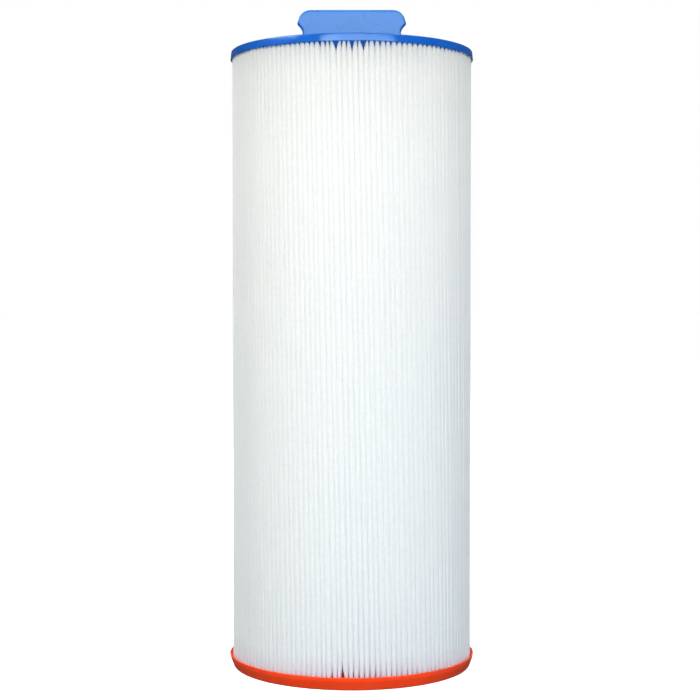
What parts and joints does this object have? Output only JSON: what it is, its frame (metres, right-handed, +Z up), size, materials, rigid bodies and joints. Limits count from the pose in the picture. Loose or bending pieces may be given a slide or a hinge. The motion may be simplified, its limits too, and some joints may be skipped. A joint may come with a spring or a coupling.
{
  "type": "spa filter cartridge",
  "caption": "Pleated cylindrical spa filter cartridge with a closed blue top cap and lifting tab, and an orange-red bottom cap with an open standpipe hole.",
  "frame": {"origin": "centre of the underside of the bottom end cap", "axes": "+Z up the cartridge's axis to the lifting tab; the tab's wide face looks along -Y and +Y"},
  "size_m": [0.1546, 0.1546, 0.4124],
  "materials": {
    "blue_urethane": "satin cast polyurethane",
    "tab_urethane": "satin moulded polyurethane",
    "red_urethane": "satin cast polyurethane",
    "filter_cloth": "spunbond polyester",
    "core_plastic": "moulded ABS",
    "seam_bead": "hot-melt bead"
  },
  "bodies": {
    "root": {"top_end_cap": "blue_urethane", "lift_handle": "tab_urethane", "bottom_end_cap": "red_urethane", "pleated_media": "filter_cloth", "media_seam": "seam_bead", "core_top_plug": "core_plastic", "core_base_adapter": "core_plastic", "core_section_1": "core_plastic", "core_section_2": "core_plastic", "core_section_3": "core_plastic", "core_section_4": "core_plastic", "core_section_5": "core_plastic"}
  },
  "joints": []
}
